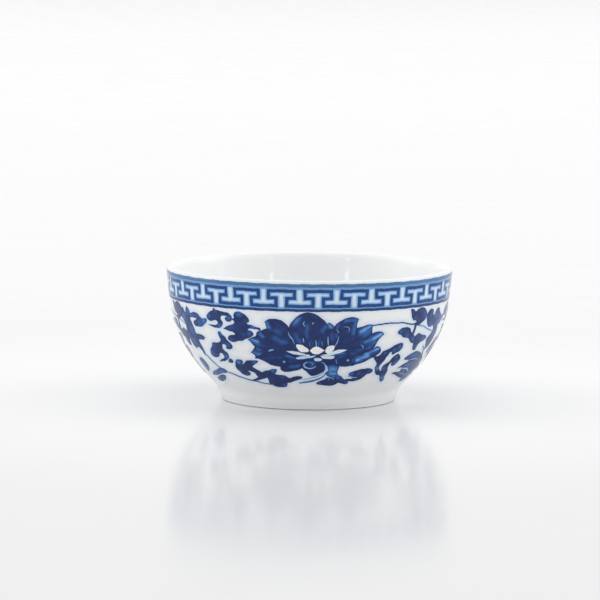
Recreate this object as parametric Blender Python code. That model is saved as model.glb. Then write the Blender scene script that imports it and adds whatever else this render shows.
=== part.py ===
"""A small porcelain tea bowl: a round-bellied wall on a short tapered foot, turned in one piece.

The bowl stands on the XY plane and its axis is +Z. Every size is in millimetres, and a point of the
section is (distance from the axis, height above the table).
"""

import math

import bpy
from mathutils import Vector
from mathutils.geometry import interpolate_bezier

MM = 0.001

# The bowl as a whole
RIM_RADIUS = 35.05
RIM_HEIGHT = 31.1
LIP_TOP_RADIUS = 34.3
LIP_TOP_HEIGHT = 32.7
WALL_AT_LIP = 1.65

# The outer wall is one curve from the rim down to the crease over the foot
RIM_LEAN = math.radians(80)
RIM_PULL = 6.5
CREASE_RADIUS = 22.4
CREASE_HEIGHT = 3.5
BELLY_LEAN = math.radians(44.2)
BELLY_PULL = 18.3

# The inner wall is one curve from the middle of the floor up to the lip
FLOOR_HEIGHT = 5.9
FLOOR_PULL = 30.5
INNER_WALL_PULL = (31.6, 16.0)
INNER_LIP_HEIGHT = 31.4

# The foot ring and the recess under the bowl
FOOT_RADIUS = 21.5
FOOT_EDGE_HEIGHT = 0.5
REST_OUTER_RADIUS = 20.9
REST_INNER_RADIUS = 19.9
FOOT_INNER_RADIUS = 19.45
FOOT_INNER_HEIGHT = 0.55
RECESS_RADIUS = 18.9
RECESS_WALL_TOP = 2.1
RECESS_FLAT_RADIUS = 18.0
RECESS_HEIGHT = 2.8
RECESS_CENTRE_HEIGHT = 3.0

# The two handles of each rounded corner of the foot, as points of the section
FOOT_OUTER_HANDLES = ((FOOT_RADIUS, 0.1), (21.3, 0.0))
FOOT_INNER_HANDLES = ((19.7, 0.0), (19.5, 0.2))
RECESS_HANDLES = ((18.8, 2.5), (18.5, RECESS_HEIGHT))

# The rounded lip
LIP_ROUND_OVER = 0.45
LIP_RISE = 0.75

# How finely the shape is cut
STEPS_ROUND = 80
WALL_POINTS = 15
LIP_POINTS = 5
CORNER_POINTS = 4
MERGE_DISTANCE = 0.01

GLAZE_COLOUR = (0.83, 0.84, 0.85, 1.0)
GLAZE_ROUGHNESS = 0.12


def clear_scene():
    for item in list(bpy.data.objects):
        bpy.data.objects.remove(item)


def curve(start, start_pull, end_pull, end, count):
    """The points of one Bezier curve of the section, both ends included."""
    corners = [Vector((radius, 0.0, height)) for radius, height in (start, start_pull, end_pull, end)]
    return [(point.x, point.z) for point in interpolate_bezier(*corners, count)]


def leaning(point, lean, distance):
    """The point that lies a distance away at an angle above the horizontal."""
    return point[0] + distance * math.cos(lean), point[1] + distance * math.sin(lean)


def inner_wall():
    """From the middle of the floor, out and up to the inner side of the lip."""
    centre = (0.0, FLOOR_HEIGHT)
    inner_lip = (RIM_RADIUS - WALL_AT_LIP, INNER_LIP_HEIGHT)
    return curve(centre, (FLOOR_PULL, FLOOR_HEIGHT), INNER_WALL_PULL, inner_lip, WALL_POINTS)


def lip():
    """Over the rounded lip, from the inner wall to the widest part of the rim."""
    inner = (RIM_RADIUS - WALL_AT_LIP, INNER_LIP_HEIGHT)
    top = (LIP_TOP_RADIUS, LIP_TOP_HEIGHT)
    rim = (RIM_RADIUS, RIM_HEIGHT)
    inside = curve(
        inner,
        leaning(inner, RIM_LEAN, LIP_RISE),
        (LIP_TOP_RADIUS - LIP_ROUND_OVER, LIP_TOP_HEIGHT),
        top,
        LIP_POINTS,
    )
    outside = curve(
        top,
        (LIP_TOP_RADIUS + LIP_ROUND_OVER, LIP_TOP_HEIGHT),
        leaning(rim, RIM_LEAN, LIP_RISE),
        rim,
        LIP_POINTS,
    )
    return inside[1:] + outside[1:]


def outer_wall():
    """From the rim down over the belly to the crease above the foot."""
    rim = (RIM_RADIUS, RIM_HEIGHT)
    crease = (CREASE_RADIUS, CREASE_HEIGHT)
    below_rim = leaning(rim, RIM_LEAN, -RIM_PULL)
    belly = leaning(crease, BELLY_LEAN, BELLY_PULL)
    return curve(rim, below_rim, belly, crease, WALL_POINTS)[1:]


def foot_ring():
    """Down the foot, round its outer edge, across the flat rest and up inside the ring."""
    edge = (FOOT_RADIUS, FOOT_EDGE_HEIGHT)
    rest_outer = (REST_OUTER_RADIUS, 0.0)
    rest_inner = (REST_INNER_RADIUS, 0.0)
    inner_edge = (FOOT_INNER_RADIUS, FOOT_INNER_HEIGHT)
    recess_wall = (RECESS_RADIUS, RECESS_WALL_TOP)
    recess_flat = (RECESS_FLAT_RADIUS, RECESS_HEIGHT)
    outer_round = curve(edge, *FOOT_OUTER_HANDLES, rest_outer, CORNER_POINTS)
    inner_round = curve(rest_inner, *FOOT_INNER_HANDLES, inner_edge, CORNER_POINTS)
    recess_round = curve(recess_wall, *RECESS_HANDLES, recess_flat, CORNER_POINTS)
    return outer_round + inner_round + recess_round


def bowl_section():
    """The whole closed section, from the axis inside the bowl to the axis under it."""
    under_centre = [(0.0, RECESS_CENTRE_HEIGHT)]
    return inner_wall() + lip() + outer_wall() + foot_ring() + under_centre


def glaze_material():
    material = bpy.data.materials.new("white_glaze")
    material.use_nodes = True
    shader = material.node_tree.nodes["Principled BSDF"]
    shader.inputs["Base Color"].default_value = GLAZE_COLOUR
    shader.inputs["Roughness"].default_value = GLAZE_ROUGHNESS
    shader.inputs["Metallic"].default_value = 0.0
    material.diffuse_color = GLAZE_COLOUR
    return material


def turned_object(name, section, material):
    """Spins a section about the Z axis into one closed solid."""
    points = [(radius * MM, 0.0, height * MM) for radius, height in section]
    edges = [(index, index + 1) for index in range(len(points) - 1)]
    mesh = bpy.data.meshes.new(name)
    mesh.from_pydata(points, edges, [])
    mesh.materials.append(material)
    item = bpy.data.objects.new(name, mesh)
    bpy.context.scene.collection.objects.link(item)
    spin = item.modifiers.new("spin", "SCREW")
    spin.axis = "Z"
    spin.steps = STEPS_ROUND
    spin.render_steps = STEPS_ROUND
    spin.use_merge_vertices = True
    spin.merge_threshold = MERGE_DISTANCE * MM
    spin.use_smooth_shade = True
    return item


def main():
    clear_scene()
    turned_object("tea_bowl", bowl_section(), glaze_material())


main()
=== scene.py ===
"""Looks for a small blue-and-white tea bowl: glazed porcelain body, cobalt painting, studio stage."""

import math

import bpy
import numpy as np
from mathutils import Matrix, Vector
from mathutils.geometry import delaunay_2d_cdt
from mathutils.kdtree import KDTree


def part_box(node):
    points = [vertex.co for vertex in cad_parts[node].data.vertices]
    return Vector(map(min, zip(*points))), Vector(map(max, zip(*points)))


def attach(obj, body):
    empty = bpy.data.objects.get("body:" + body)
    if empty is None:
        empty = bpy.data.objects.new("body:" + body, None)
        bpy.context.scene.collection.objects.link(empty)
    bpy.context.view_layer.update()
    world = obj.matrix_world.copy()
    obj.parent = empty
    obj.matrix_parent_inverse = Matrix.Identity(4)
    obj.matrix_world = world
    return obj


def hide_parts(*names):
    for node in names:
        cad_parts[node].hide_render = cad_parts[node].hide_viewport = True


bl_info = {
    "name": "Blue-and-white tea bowl",
    "version": (1, 0, 0),
    "blender": (4, 5, 0),
    "location": "View3D > Sidebar > Tea bowl",
    "description": "Turns a porcelain tea bowl and paints its key fret and lotus scroll",
    "category": "Add Mesh",
}

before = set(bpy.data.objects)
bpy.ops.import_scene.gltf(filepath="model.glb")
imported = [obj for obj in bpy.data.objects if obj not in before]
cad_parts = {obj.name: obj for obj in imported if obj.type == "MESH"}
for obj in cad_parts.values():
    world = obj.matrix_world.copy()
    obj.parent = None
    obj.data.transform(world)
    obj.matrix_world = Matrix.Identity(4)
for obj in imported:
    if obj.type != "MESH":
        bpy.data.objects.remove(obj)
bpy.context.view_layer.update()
BOWL_NODE = "tea_bowl"
BOWL_LOW, BOWL_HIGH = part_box(BOWL_NODE)
MM = 0.001

# The painting is drawn on the wall laid flat, in millimetres: x runs round the bowl to the right of
# the front, and y runs down the wall from the widest part of the rim.
GIRTH_RADIUS = 32.45
GIRTH = 2 * math.pi * GIRTH_RADIUS
TIP = True  # a third value on an outline's point makes that point sharp
HEART = (2.0, 16.0)  # the middle of the first flower
FLOWERS = 3
APART = GIRTH / FLOWERS  # from one flower to the next

# How far the wall leans from level just under the rim and just above the crease, in degrees
RIM_LEAN = 80.0
BELLY_LEAN = 44.2

# The curves of the lip, as shares of its inset and of its drop
LIP_ROUND_OVER = 0.6
LIP_RISE = 0.47
INNER_LIP_DROP = 0.81

# How the paint lies on the clay. A skin reaches a little into the clay, and each shape of a piece
# lies one layer above the shape before it.
SKIN_DEPTH = 0.02 * MM
LAYER_STEP = 0.0015 * MM
HAZE_STRENGTH = 0.42
HAZE_REACH = 0.75 * MM
HAND_SWELL = 0.014 * MM  # how far the turned wall strays from a true circle

# How high each kind of paint lies above the lowest paint, in paint lifts
GROUND_LEVEL = -0.2
VINE_LEVEL = 0
LEAF_LEVEL = 0.5
LINE_LEVEL = 1
PETAL_LEVEL = 1
LIGHT_LEVEL = 2.6

# How finely the pieces are cut
BODY_STEPS = 288
RING_STEPS = 192
LINE_PIECES = 8
OUTLINE_STEP = 0.22


# ---------------------------------------------------------------------------------------------
# Settings
# ---------------------------------------------------------------------------------------------


def length(name, description, default):
    return bpy.props.FloatProperty(
        name=name, description=description, default=default, min=0.0, precision=5, unit="LENGTH"
    )


def colour(name, description, default):
    return bpy.props.FloatVectorProperty(
        name=name, description=description, default=default, min=0.0, max=1.0, size=3, subtype="COLOR"
    )


class BowlSizes(bpy.types.PropertyGroup):
    rim_radius: length("Rim radius", "Half the width across the rim", BOWL_HIGH.x)
    height: length("Height", "From the table to the top of the lip", BOWL_HIGH.z)
    lip_drop: length("Lip drop", "From the top of the lip down to its widest part", 1.6 * MM)
    lip_inset: length("Lip inset", "How far the top of the lip lies inside the rim", 0.75 * MM)
    lip_wall: length("Lip wall", "Wall thickness just below the lip", 1.65 * MM)
    crease_radius: length("Crease radius", "Where the belly meets the foot", 22.65 * MM)
    crease_height: length("Crease height", "Height of the crease above the table", 3.5 * MM)
    foot_radius: length("Foot radius", "The foot just above its rounded edge", 21.5 * MM)
    floor_height: length("Floor height", "Height of the inner floor at its middle", 5.9 * MM)
    recess_height: length("Recess height", "Height of the recess under the bowl", 2.8 * MM)


class PaintSizes(bpy.types.PropertyGroup):
    fret_repeats: bpy.props.IntProperty(
        name="Fret repeats",
        description="How often the key fret repeats round the bowl",
        default=25,
        min=8,
    )
    fret_line: length("Fret line", "Width of the fret's line", 0.75 * MM)
    rim_line: length("Rim line", "Width of the line under the lip", 0.82 * MM)
    base_line: length("Base line", "Width of the line under the fret", 0.64 * MM)
    lift: length("Paint lift", "How far the lowest paint stands above the clay", 0.025 * MM)


class BowlColours(bpy.types.PropertyGroup):
    porcelain: colour("Porcelain", "White clay under clear glaze", (0.90, 0.903, 0.90))
    pooled_glaze: colour("Pooled glaze", "Where the glaze has run thick", (0.76, 0.81, 0.84))
    haze: colour("Cobalt haze", "Cobalt that has bled into the glaze", (0.40, 0.60, 0.90))
    cobalt_dark: colour("Dark cobalt", "Cobalt laid on thick", (0.0025, 0.017, 0.11))
    cobalt_mid: colour("Middle cobalt", "Cobalt laid on once", (0.019, 0.122, 0.40))
    cobalt_pale: colour("Pale cobalt", "A thin wash of cobalt", (0.27, 0.53, 0.87))
    lip_line: colour("Lip line", "The greener blue of the line under the lip", (0.07, 0.18, 0.37))
    bare_clay: colour("Bare clay", "The unglazed edge of the foot ring", (0.50, 0.44, 0.36))
    scorched_clay: colour("Scorched clay", "Bare clay that the kiln has browned", (0.36, 0.27, 0.19))
    clay_speck: colour("Clay speck", "Iron specks in the bare clay", (0.12, 0.09, 0.07))
    glaze_speck: colour("Glaze speck", "Pin-head specks in the glaze", (0.30, 0.27, 0.24))
    floor: colour("Floor", "The studio floor behind the bowl", (0.80, 0.80, 0.80))
    # The floor is painted darker towards the camera: painted shade, where less light falls.
    floor_near_painted_shade: colour("Near floor", "The studio floor towards the camera", (0.71, 0.71, 0.71))
    # The floor is painted lighter far from the bowl: painted light.
    floor_far_painted_light: colour("Far floor", "The studio floor in the distance", (0.90, 0.90, 0.90))
    # A pale patch painted round the foot of the bowl: a painted pool of light over the shade the bowl
    # casts on the floor.
    floor_painted_light_pool: colour("Floor under the bowl", "The pale pool the bowl stands in", (0.92, 0.92, 0.92))
    floor_dust: colour("Floor dust", "Faint clouds on the studio floor", (0.5, 0.5, 0.5))


class StageSettings(bpy.types.PropertyGroup):
    camera_height_angle: bpy.props.FloatProperty(
        name="Camera height angle",
        description="How far above level the camera stands",
        default=math.radians(7.1),
        subtype="ANGLE",
    )
    camera_distance: length("Camera distance", "From the camera to the bowl", 0.8)
    camera_tilt: bpy.props.FloatProperty(
        name="Camera tilt",
        description="How far the camera is rolled about its own axis",
        default=math.radians(0.48),
        subtype="ANGLE",
    )
    camera_lens: bpy.props.FloatProperty(
        name="Lens", description="Focal length of the camera in millimetres", default=194.8, min=1.0
    )
    backdrop: bpy.props.FloatProperty(
        name="Backdrop", description="How bright the room looks behind the bowl", default=0.955, min=0.0
    )


# ---------------------------------------------------------------------------------------------
# The bowl's section, and the outer wall as a surface to paint on
# ---------------------------------------------------------------------------------------------


def bezier(corners, count):
    """Points of one cubic Bezier curve, both ends included."""
    a, b, c, d = (np.array(corner, float) for corner in corners)
    t = np.linspace(0.0, 1.0, count)[:, None]
    return (1 - t) ** 3 * a + 3 * (1 - t) ** 2 * t * b + 3 * (1 - t) * t**2 * c + t**3 * d


def fade(gap, reach):
    """From 1 at no gap down to nothing well past the reach."""
    return np.exp(-((gap / reach) ** 2))


def leaning(point, lean, distance):
    """The point a distance away from another, at an angle above the horizontal in degrees."""
    lean = math.radians(lean)
    return point[0] + distance * math.cos(lean), point[1] + distance * math.sin(lean)


def lip_outside(sizes, count):
    """From the top of the lip over to the widest part of the rim."""
    top = (sizes.rim_radius - sizes.lip_inset, sizes.height)
    rim = (sizes.rim_radius, sizes.height - sizes.lip_drop)
    over = (top[0] + LIP_ROUND_OVER * sizes.lip_inset, top[1])
    return bezier((top, over, leaning(rim, RIM_LEAN, LIP_RISE * sizes.lip_drop), rim), count)


def lip_inside(sizes, count):
    """From the inner wall up to the top of the lip."""
    top = (sizes.rim_radius - sizes.lip_inset, sizes.height)
    inner = (sizes.rim_radius - sizes.lip_wall, sizes.height - INNER_LIP_DROP * sizes.lip_drop)
    over = (top[0] - LIP_ROUND_OVER * sizes.lip_inset, top[1])
    return bezier((inner, leaning(inner, RIM_LEAN, LIP_RISE * sizes.lip_drop), over, top), count)


def outer_wall(sizes, count):
    """From the widest part of the rim down the belly to the crease above the foot."""
    rim = (sizes.rim_radius, sizes.height - sizes.lip_drop)
    crease = (sizes.crease_radius, sizes.crease_height)
    below_rim = leaning(rim, RIM_LEAN, -0.2 * sizes.height)
    belly = leaning(crease, BELLY_LEAN, 0.56 * sizes.height)
    return bezier((rim, below_rim, belly, crease), count)


def inner_wall(sizes, count):
    """From the middle of the floor out and up to the lip."""
    centre = (0.0, sizes.floor_height)
    spread = (0.87 * sizes.rim_radius, sizes.floor_height)
    shoulder = (0.902 * sizes.rim_radius, 0.49 * sizes.height)
    inner = (sizes.rim_radius - sizes.lip_wall, sizes.height - INNER_LIP_DROP * sizes.lip_drop)
    return bezier((centre, spread, shoulder, inner), count)


def hand_turned(points):
    """Shifts points by hundredths of a millimetre, as a hand-finished bowl is never quite round."""
    angle = np.arctan2(points[:, 0], -points[:, 1])
    height = points[:, 2] / MM
    swell = np.sin(2 * angle + 0.6) + 0.7 * np.sin(3 * angle + 0.11 * height)
    swell += 0.35 * np.sin(5 * angle - 0.19 * height + 1.3)
    amount = HAND_SWELL * swell * np.clip(height / 4.0, 0.0, 1.0)
    around = np.stack([np.sin(angle), -np.cos(angle), np.zeros_like(angle)], axis=1)
    return points + around * amount[:, None]


class PaintedWall:
    """The outer wall, as a surface that flat drawings are laid on."""

    def __init__(self, sizes):
        lip = lip_outside(sizes, 40)
        wall = outer_wall(sizes, 400)
        section = np.vstack([lip[:-1], wall])
        steps = np.hypot(*np.diff(section, axis=0).T)
        down = np.concatenate([[0.0], np.cumsum(steps)])
        self.down = (down - down[len(lip) - 1]) / MM
        self.section = section

    def surface(self, x, y):
        """Where drawing points lie on the clay, in metres."""
        radius = np.interp(y, self.down, self.section[:, 0])
        height = np.interp(y, self.down, self.section[:, 1])
        angle = np.asarray(x) / GIRTH_RADIUS
        return hand_turned(np.stack([radius * np.sin(angle), -radius * np.cos(angle), height], axis=1))

    def place(self, x, y, lift):
        """Points raised off the clay by a lift in metres, and the directions straight out of it."""
        reach = 0.2
        here = self.surface(x, y)
        across = self.surface(x + reach, y) - self.surface(x - reach, y)
        along = self.surface(x, y + reach) - self.surface(x, y - reach)
        out = np.cross(along, across)
        out /= np.linalg.norm(out, axis=1)[:, None]
        return here + out * np.asarray(lift)[:, None], out


# ---------------------------------------------------------------------------------------------
# Flat drawing: outlines, brush strokes and how thick the cobalt lies
# ---------------------------------------------------------------------------------------------


def smooth_line(points, closed):
    """A flowing line through points. A point with TIP as its third value stays a sharp corner."""
    spots = [np.array(point[:2], float) for point in points]
    sharp = [len(point) > 2 for point in points]
    count = len(spots)
    line = []
    for index in range(count if closed else count - 1):
        start = spots[index]
        end = spots[(index + 1) % count]
        before = spots[index - 1] if closed or index else start
        after = spots[(index + 2) % count] if closed or index + 2 < count else end
        span = np.linalg.norm(end - start)
        leave = end - start if sharp[index] else end - before
        arrive = end - start if sharp[(index + 1) % count] else after - start
        leave = leave / np.linalg.norm(leave) * span
        arrive = arrive / np.linalg.norm(arrive) * span
        cuts = max(2, math.ceil(span / OUTLINE_STEP))
        for t in np.arange(cuts) / cuts:
            line.append(
                (2 * t**3 - 3 * t**2 + 1) * start
                + (t**3 - 2 * t**2 + t) * leave
                + (3 * t**2 - 2 * t**3) * end
                + (t**3 - t**2) * arrive
            )
    if not closed:
        line.append(spots[-1])
    return np.array(line)


def brush_outline(points, widths):
    """The outline of a brush stroke along points, with its width at evenly spread places."""
    line = smooth_line(points, closed=False)
    heading = np.gradient(line, axis=0)
    heading /= np.linalg.norm(heading, axis=1)[:, None]
    side = np.stack([-heading[:, 1], heading[:, 0]], axis=1)
    run = np.concatenate([[0.0], np.cumsum(np.hypot(*np.diff(line, axis=0).T))])
    half = 0.5 * np.interp(run / run[-1], np.linspace(0, 1, len(widths)), widths)
    left = line + side * half[:, None]
    right = line - side * half[:, None]
    start_cap = line[0] - heading[0] * half[0] * 0.8
    end_cap = line[-1] + heading[-1] * half[-1] * 0.8
    return np.vstack([left, [end_cap], right[::-1], [start_cap]])


def distance_to_outline(points, outline):
    """How far each point lies from a closed outline."""
    start = outline
    edge = np.roll(outline, -1, axis=0) - start
    from_start = points[:, None, :] - start[None]
    along = np.clip((from_start * edge).sum(2) / (edge**2).sum(1), 0.0, 1.0)
    gap = from_start - along[..., None] * edge
    return np.sqrt((gap**2).sum(2)).min(1)


def inside_outline(points, outline):
    """Which points lie inside a closed outline."""
    x, y = points[:, 0][:, None], points[:, 1][:, None]
    x0, y0 = outline[:, 0], outline[:, 1]
    x1, y1 = np.roll(x0, -1), np.roll(y0, -1)
    rise = np.where(y1 == y0, 1e-12, y1 - y0)
    crosses = ((y0 > y) != (y1 > y)) & (x < (x1 - x0) * (y - y0) / rise + x0)
    return crosses.sum(1) % 2 == 1


def filled(outline, grain):
    """Points and triangles that fill an outline finely enough to bend with the wall."""
    low, high = outline.min(0), outline.max(0)
    columns = np.arange(low[0], high[0], grain)
    rows = np.arange(low[1], high[1], grain * 0.87)
    grid = np.array([(x + 0.5 * grain * (n % 2), y) for n, y in enumerate(rows) for x in columns])
    if len(grid):
        grid = grid[inside_outline(grid, outline)]
    if len(grid):
        grid = grid[distance_to_outline(grid, outline) > 0.45 * grain]
    points = [Vector(point) for point in (*outline, *grid)]
    count = len(outline)
    rim = [(index, (index + 1) % count) for index in range(count)]
    verts, _, faces, _, _, _ = delaunay_2d_cdt(points, rim, [], 1, 1e-5)
    return np.array([tuple(vert) for vert in verts]), [tuple(face) for face in faces]


class Wash:
    """One painted shape: an outline, how thick the cobalt lies, and places where it lies otherwise.

    Ink is 1 where the cobalt is thick and 0 where the clay is bare. A glow is (x, y, reach, ink), or
    (x, y, to x, to y, reach, ink) for a long one. Rays is how strongly the brush streaks out from
    the heart of the flower.
    """

    def __init__(self, outline, ink=0.95, glows=(), edge=0.0, drawn=False, grain=0.5, rays=0.0):
        self.outline = np.array(outline, float) if drawn else smooth_line(outline, closed=True)
        self.ink = ink
        self.glows = glows
        self.edge = edge
        self.grain = grain
        self.rays = rays

    def ink_at(self, points):
        ink = np.full(len(points), self.ink, float)
        for *line, reach, other in self.glows:
            x0, y0, x1, y1 = (line * 2)[:4]
            run = np.array([x1 - x0, y1 - y0])
            from_start = points - (x0, y0)
            along = np.clip(from_start @ run / max(run @ run, 1e-9), 0.0, 1.0)
            gap = np.linalg.norm(from_start - along[:, None] * run, axis=1)
            ink += (other - ink) * fade(gap, reach)
        if self.rays:
            away = points - HEART
            turn = np.arctan2(away[:, 1], away[:, 0])
            streak = np.sin(31 * turn + 2 * np.sin(5 * turn)) + 0.6 * np.sin(67 * turn + 1.0)
            ink += self.rays * streak * np.clip(np.linalg.norm(away, axis=1) / 8 - 0.5, 0.0, 1.0)
        if self.edge:
            ink += self.edge * fade(distance_to_outline(points, self.outline), 0.22)
        return ink


class Bleed(Wash):
    """Clear glaze over bare clay, tinted where it lies near painted lines."""

    def __init__(self, outline, lines, reach, ink, base, grain):
        super().__init__(outline, ink, drawn=True, grain=grain)
        self.lines = lines
        self.reach = reach
        self.base = base

    def ink_at(self, points):
        gap = np.min([distance_to_outline(points, line) for line in self.lines], axis=0)
        return self.base + (self.ink - self.base) * fade(gap, self.reach)


def stroke(points, widths, ink):
    """One pull of the brush along points, with its widths spread evenly from start to end."""
    return Wash(brush_outline(points, widths), ink, drawn=True)


def dot(x, y, radius, ink):
    """One touch of the brush's tip."""
    turn = np.linspace(0, 2 * math.pi, 10, endpoint=False)
    outline = np.stack([x + radius * np.cos(turn), y + radius * np.sin(turn)], axis=1)
    return Wash(outline, ink, drawn=True)


def shaky(points):
    """Moves drawing points a little, as a brush does. It closes on itself round the bowl."""
    turn = points[:, 0] * 2 * math.pi / GIRTH
    y = points[:, 1]
    x_shift = 0.045 * np.sin(61 * turn + 1.7 * y) + 0.03 * np.sin(113 * turn - 0.9 * y + 2.0)
    y_shift = 0.04 * np.sin(47 * turn + 0.8 * y + 0.7) + 0.025 * np.sin(131 * turn + 2.1 * y)
    return points + np.stack([x_shift, y_shift], axis=1)


def link_mesh(name, verts, faces):
    mesh = bpy.data.meshes.new(name)
    mesh.from_pydata([tuple(vert) for vert in verts], [], [tuple(face) for face in faces])
    item = bpy.data.objects.new(name, mesh)
    bpy.context.scene.collection.objects.link(item)
    return item


def set_attribute(item, name, values):
    item.data.attributes.new(name, "FLOAT", "POINT").data.foreach_set("value", values)


def mesh_points(item):
    points = np.empty(len(item.data.vertices) * 3)
    item.data.vertices.foreach_get("co", points)
    return points.reshape(-1, 3)


def painted_piece(name, washes, wall, lift, material, turn, layered):
    """Lays washes on the wall, later ones over earlier ones, as one piece of closed thin skins."""
    verts, faces, ink, normals = [], [], [], []
    offset = 0
    for order, wash in enumerate(washes):
        points, triangles = filled(wash.outline, wash.grain)
        tone = wash.ink_at(points)
        moved = shaky(points + (turn, 0.0))
        height = lift + (LAYER_STEP * order if layered else 0.0)
        count = len(points)
        top, out = wall.place(moved[:, 0], moved[:, 1], np.full(count, height))
        under, _ = wall.place(moved[:, 0], moved[:, 1], np.full(count, -SKIN_DEPTH))
        sides = {}
        for triangle in triangles:
            for a, b in zip(triangle, triangle[1:] + triangle[:1]):
                sides[(a, b)] = (b, a) not in sides
                if (b, a) in sides:
                    sides[(b, a)] = False
        rims = [pair for pair, alone in sides.items() if alone]
        for triangle in triangles:
            faces.append(tuple(offset + corner for corner in reversed(triangle)))
            normals += [tuple(out[corner]) for corner in reversed(triangle)]
        for triangle in triangles:
            faces.append(tuple(offset + count + corner for corner in triangle))
            normals += [tuple(-out[corner]) for corner in triangle]
        for a, b in rims:
            ring = (a, b, count + b, count + a)
            faces.append(tuple(offset + corner for corner in ring))
            normals += [tuple(out[corner % count]) for corner in ring]
        verts += [*top, *under]
        ink += [*tone, *tone]
        offset += 2 * count
    item = link_mesh(name, verts, faces)
    item.data.shade_smooth()
    item.data.normals_split_custom_set(normals)
    set_attribute(item, "ink", ink)
    item.data.materials.append(material)
    return item


# ---------------------------------------------------------------------------------------------
# Shader building
# ---------------------------------------------------------------------------------------------


def add_node(tree, kind, **settings):
    node = tree.nodes.new(kind)
    for key, value in settings.items():
        setattr(node, key, value)
    return node


def new_group(name, inputs, outputs):
    """An empty shader node group with named sockets, and its two end nodes."""
    group = bpy.data.node_groups.new(name, "ShaderNodeTree")
    for socket, kind, default in inputs:
        made = group.interface.new_socket(socket, in_out="INPUT", socket_type=kind)
        made.default_value = default
    for socket, kind in outputs:
        group.interface.new_socket(socket, in_out="OUTPUT", socket_type=kind)
    return group, group.nodes.new("NodeGroupInput"), group.nodes.new("NodeGroupOutput")


def math_node(tree, operation, first, second):
    node = add_node(tree, "ShaderNodeMath", operation=operation)
    for socket, value in zip(node.inputs, (first, second)):
        if isinstance(value, (int, float)):
            socket.default_value = value
        else:
            tree.links.new(value, socket)
    return node.outputs[0]


def noise(tree, scale, detail=2.0, roughness=0.5):
    """Noise in object space, with a scale in waves per metre."""
    place = add_node(tree, "ShaderNodeTexCoord")
    node = add_node(tree, "ShaderNodeTexNoise")
    node.inputs["Scale"].default_value = scale
    node.inputs["Detail"].default_value = detail
    node.inputs["Roughness"].default_value = roughness
    tree.links.new(place.outputs["Object"], node.inputs["Vector"])
    return node.outputs["Fac"]


def ramp_between(tree, value, low, high, to_low=0.0, to_high=1.0):
    """A smooth change from one number to another while the value goes from low to high."""
    node = add_node(tree, "ShaderNodeMapRange", interpolation_type="SMOOTHSTEP")
    tree.links.new(value, node.inputs["Value"])
    limits = {"From Min": low, "From Max": high, "To Min": to_low, "To Max": to_high}
    for socket, number in limits.items():
        node.inputs[socket].default_value = number
    return node.outputs["Result"]


def mix_colour(tree, factor, first, second):
    """The first colour where the factor is 0 and the second where it is 1."""
    node = add_node(tree, "ShaderNodeMix", data_type="RGBA")
    sockets = (node.inputs[0], node.inputs[6], node.inputs[7])  # the ones that mix colours
    for socket, value in zip(sockets, (factor, first, second)):
        if isinstance(value, (int, float)):
            socket.default_value = value
        elif isinstance(value, bpy.types.NodeSocket):
            tree.links.new(value, socket)
        else:
            socket.default_value = (*value, 1.0)
    return node.outputs[2]


def glaze_ripple_group():
    """Slow waves and fine orange peel in a fired glaze, as a height."""
    group, inlet, outlet = new_group(
        "glaze_ripple",
        (("Waves", "NodeSocketFloat", 0.6), ("Peel", "NodeSocketFloat", 0.1)),
        (("Height", "NodeSocketFloat"),),
    )
    slow = math_node(group, "MULTIPLY", noise(group, 90.0, 1.0), inlet.outputs["Waves"])
    fine = math_node(group, "MULTIPLY", noise(group, 900.0, 1.0), inlet.outputs["Peel"])
    group.links.new(math_node(group, "ADD", slow, fine), outlet.inputs["Height"])
    return group


def cobalt_wash_group():
    """Cobalt from a pale wash to a dark pool, with uneven brushwork."""
    group, inlet, outlet = new_group(
        "cobalt_wash",
        (
            ("Ink", "NodeSocketFloat", 0.9),
            ("Unevenness", "NodeSocketFloat", 0.12),
            ("White", "NodeSocketColor", (0.8, 0.8, 0.8, 1.0)),
            ("Pale", "NodeSocketColor", (0.5, 0.6, 0.8, 1.0)),
            ("Middle", "NodeSocketColor", (0.05, 0.1, 0.3, 1.0)),
            ("Dark", "NodeSocketColor", (0.01, 0.02, 0.08, 1.0)),
        ),
        (("Color", "NodeSocketColor"),),
    )
    blotch = math_node(group, "SUBTRACT", noise(group, 420.0, 3.0, 0.6), 0.5)
    grainy = math_node(group, "SUBTRACT", noise(group, 2600.0, 2.0, 0.6), 0.5)
    rough = math_node(group, "ADD", blotch, math_node(group, "MULTIPLY", grainy, 0.35))
    uneven = math_node(group, "MULTIPLY", rough, inlet.outputs["Unevenness"])
    ink = math_node(group, "ADD", inlet.outputs["Ink"], uneven)
    tint = ramp_between(group, ink, 0.0, 0.34)
    thin = ramp_between(group, ink, 0.3, 0.68)
    thick = ramp_between(group, ink, 0.62, 1.0)
    washed = mix_colour(group, tint, inlet.outputs["White"], inlet.outputs["Pale"])
    light = mix_colour(group, thin, washed, inlet.outputs["Middle"])
    full = mix_colour(group, thick, light, inlet.outputs["Dark"])
    group.links.new(full, outlet.inputs["Color"])
    return group


def kiln_speck_group():
    """Sparse pin-head specks, as a mask."""
    group, inlet, outlet = new_group(
        "kiln_specks",
        (("Amount", "NodeSocketFloat", 0.5),),
        (("Mask", "NodeSocketFloat"),),
    )
    place = add_node(group, "ShaderNodeTexCoord")
    cells = add_node(group, "ShaderNodeTexVoronoi")
    cells.inputs["Scale"].default_value = 330.0
    group.links.new(place.outputs["Object"], cells.inputs["Vector"])
    near = ramp_between(group, cells.outputs["Distance"], 0.05, 0.012)
    pick = add_node(group, "ShaderNodeSeparateColor")
    group.links.new(cells.outputs["Color"], pick.inputs["Color"])
    rare = math_node(group, "GREATER_THAN", pick.outputs["Red"], 0.9)
    mask = math_node(group, "MULTIPLY", near, rare)
    group.links.new(math_node(group, "MULTIPLY", mask, inlet.outputs["Amount"]), outlet.inputs["Mask"])
    return group


def shared_group(name, builder):
    return bpy.data.node_groups.get(name) or builder()


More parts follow.
